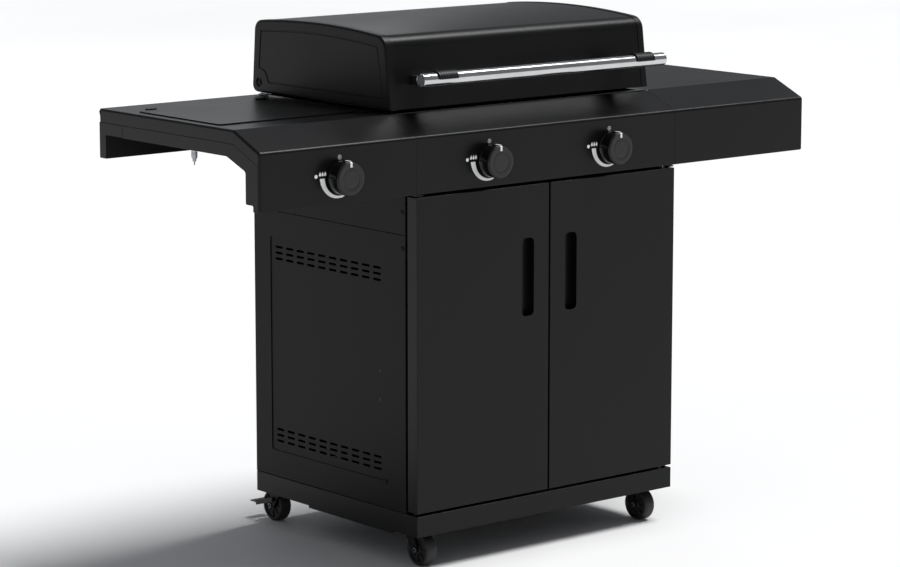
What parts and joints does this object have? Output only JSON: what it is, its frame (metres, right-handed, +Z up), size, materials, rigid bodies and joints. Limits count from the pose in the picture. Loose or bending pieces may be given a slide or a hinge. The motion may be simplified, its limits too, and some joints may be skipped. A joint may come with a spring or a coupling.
{
  "type": "gas barbecue grill",
  "caption": "Free-standing gas barbecue grill with a hinged hood, cabinet on casters, sloped control console and side tables, one holding a lidded side burner.",
  "frame": {"origin": "centre of the bounding box's footprint, on the ground", "axes": "+X along the side tables to the right, +Y from the doors to the back, +Z up"},
  "size_m": [1.3, 0.565, 0.9619],
  "materials": {
    "powder_coat": "satin black powder coat with a fine orange-peel texture",
    "enamel": "glossy black vitreous enamel",
    "cast_aluminium": "black painted aluminium casting, finely grained",
    "cast_iron": "matt seasoned cast iron",
    "stainless": "polished stainless steel",
    "zinc_steel": "zinc plated steel",
    "dark_steel": "black painted pressed steel",
    "brass": "machined brass",
    "black_plastic": "satin black moulded plastic",
    "gloss_plastic": "glossy black moulded plastic",
    "caster_rubber": "black moulded rubber tread on a plastic core",
    "ceramic": "glazed off-white ceramic insulator"
  },
  "bodies": {
    "root": {"base_tray": "powder_coat", "back_panel": "powder_coat", "front_crossbar": "powder_coat", "control_panel": "powder_coat", "side_panel_left": "powder_coat", "side_panel_right": "powder_coat", "upper_side_left": "powder_coat", "upper_side_right": "powder_coat", "left_table_shell": "powder_coat", "right_table_shell": "powder_coat", "left_table_frame": "powder_coat", "right_table_frame": "powder_coat", "left_rear_plate": "powder_coat", "right_rear_plate": "powder_coat", "firebox": "enamel", "side_burner_bowl": "enamel", "grate_left": "cast_iron", "grate_right": "cast_iron", "side_burner_grate": "cast_iron", "burner_left": "stainless", "burner_right": "stainless", "flame_tamer_left": "stainless", "flame_tamer_right": "stainless", "gas_manifold": "zinc_steel", "side_burner_head": "zinc_steel", "hood_hinge_left": "zinc_steel", "hood_hinge_right": "zinc_steel", "valve_side": "brass", "valve_left": "brass", "valve_right": "brass", "bezel_side": "gloss_plastic", "bezel_left": "gloss_plastic", "bezel_right": "gloss_plastic", "side_burner_igniter": "ceramic"},
    "hood": {"hood_shell": "powder_coat", "hood_end_left": "cast_aluminium", "hood_end_right": "cast_aluminium", "handle_tube": "stainless", "handle_bracket_left": "black_plastic", "handle_bracket_right": "black_plastic"},
    "left_door": {"door_left": "powder_coat"},
    "right_door": {"door_right": "powder_coat"},
    "burner_lid": {"side_burner_lid": "powder_coat"},
    "tray": {"grease_tray": "zinc_steel"},
    "side_stem": {"valve_stem_side": "zinc_steel"},
    "side_knob": {"knob_side": "black_plastic"},
    "left_stem": {"valve_stem_left": "zinc_steel"},
    "left_knob": {"knob_left": "black_plastic"},
    "right_stem": {"valve_stem_right": "zinc_steel"},
    "right_knob": {"knob_right": "black_plastic"},
    "front_left_fork": {"caster_fork_front_left": "dark_steel"},
    "front_left_wheel": {"caster_wheel_front_left": "caster_rubber"},
    "front_right_fork": {"caster_fork_front_right": "dark_steel"},
    "front_right_wheel": {"caster_wheel_front_right": "caster_rubber"},
    "rear_left_fork": {"caster_fork_rear_left": "dark_steel"},
    "rear_left_wheel": {"caster_wheel_rear_left": "caster_rubber"},
    "rear_right_fork": {"caster_fork_rear_right": "dark_steel"},
    "rear_right_wheel": {"caster_wheel_rear_right": "caster_rubber"},
    "rear_left_pedal": {"brake_pedal_rear_left": "black_plastic"},
    "rear_right_pedal": {"brake_pedal_rear_right": "black_plastic"}
  },
  "joints": [
    {"name": "hood_hinge", "type": "hinge", "parent": "root", "child": "hood", "pos_m": [0, 0.2115, 0.84], "axis": [-1, 0, 0], "range_deg": [0, 95]},
    {"name": "left_door_hinge", "type": "hinge", "parent": "root", "child": "left_door", "pos_m": [-0.3025, -0.236, 0.391], "axis": [0, 0, -1], "range_deg": [0, 110]},
    {"name": "right_door_hinge", "type": "hinge", "parent": "root", "child": "right_door", "pos_m": [0.3025, -0.236, 0.391], "axis": [0, 0, 1], "range_deg": [0, 110]},
    {"name": "burner_lid_hinge", "type": "hinge", "parent": "root", "child": "burner_lid", "pos_m": [-0.48, 0.1395, 0.818], "axis": [-1, 0, 0], "range_deg": [0, 95]},
    {"name": "grease_tray_slide", "type": "slide", "parent": "root", "child": "tray", "axis": [0, 1, 0], "range_m": [0, 0.3]},
    {"name": "side_knob_push", "type": "slide", "parent": "root", "child": "side_stem", "axis": [0, 1, 0], "range_m": [0, 0.004], "stiffness_N_per_m": 1200},
    {"name": "side_knob_turn", "type": "hinge", "parent": "side_stem", "child": "side_knob", "pos_m": [-0.48, -0.2645, 0.728], "axis": [0, -1, 0], "range_deg": [0, 220]},
    {"name": "left_knob_push", "type": "slide", "parent": "root", "child": "left_stem", "axis": [0, 1, 0], "range_m": [0, 0.004], "stiffness_N_per_m": 1200},
    {"name": "left_knob_turn", "type": "hinge", "parent": "left_stem", "child": "left_knob", "pos_m": [-0.144, -0.2645, 0.728], "axis": [0, -1, 0], "range_deg": [0, 220]},
    {"name": "right_knob_push", "type": "slide", "parent": "root", "child": "right_stem", "axis": [0, 1, 0], "range_m": [0, 0.004], "stiffness_N_per_m": 1200},
    {"name": "right_knob_turn", "type": "hinge", "parent": "right_stem", "child": "right_knob", "pos_m": [0.144, -0.2645, 0.728], "axis": [0, -1, 0], "range_deg": [0, 220]},
    {"name": "front_left_swivel", "type": "hinge", "parent": "root", "child": "front_left_fork", "pos_m": [-0.267, -0.1845, 0.072], "axis": [0, 0, 1], "continuous": true},
    {"name": "front_left_roll", "type": "hinge", "parent": "front_left_fork", "child": "front_left_wheel", "pos_m": [-0.267, -0.2095, 0.0305], "axis": [1, 0, 0], "continuous": true},
    {"name": "front_right_swivel", "type": "hinge", "parent": "root", "child": "front_right_fork", "pos_m": [0.267, -0.1845, 0.072], "axis": [0, 0, 1], "continuous": true},
    {"name": "front_right_roll", "type": "hinge", "parent": "front_right_fork", "child": "front_right_wheel", "pos_m": [0.267, -0.2095, 0.0305], "axis": [1, 0, 0], "continuous": true},
    {"name": "rear_left_swivel", "type": "hinge", "parent": "root", "child": "rear_left_fork", "pos_m": [-0.267, 0.2005, 0.072], "axis": [0, 0, 1], "continuous": true},
    {"name": "rear_left_roll", "type": "hinge", "parent": "rear_left_fork", "child": "rear_left_wheel", "pos_m": [-0.267, 0.2255, 0.0305], "axis": [1, 0, 0], "continuous": true},
    {"name": "rear_left_brake", "type": "hinge", "parent": "rear_left_fork", "child": "rear_left_pedal", "pos_m": [-0.267, 0.2205, 0.044], "axis": [1, 0, 0], "range_deg": [0, 14]},
    {"name": "rear_right_swivel", "type": "hinge", "parent": "root", "child": "rear_right_fork", "pos_m": [0.267, 0.2005, 0.072], "axis": [0, 0, 1], "continuous": true},
    {"name": "rear_right_roll", "type": "hinge", "parent": "rear_right_fork", "child": "rear_right_wheel", "pos_m": [0.267, 0.2255, 0.0305], "axis": [1, 0, 0], "continuous": true},
    {"name": "rear_right_brake", "type": "hinge", "parent": "rear_right_fork", "child": "rear_right_pedal", "pos_m": [0.267, 0.2205, 0.044], "axis": [1, 0, 0], "range_deg": [0, 14]}
  ]
}
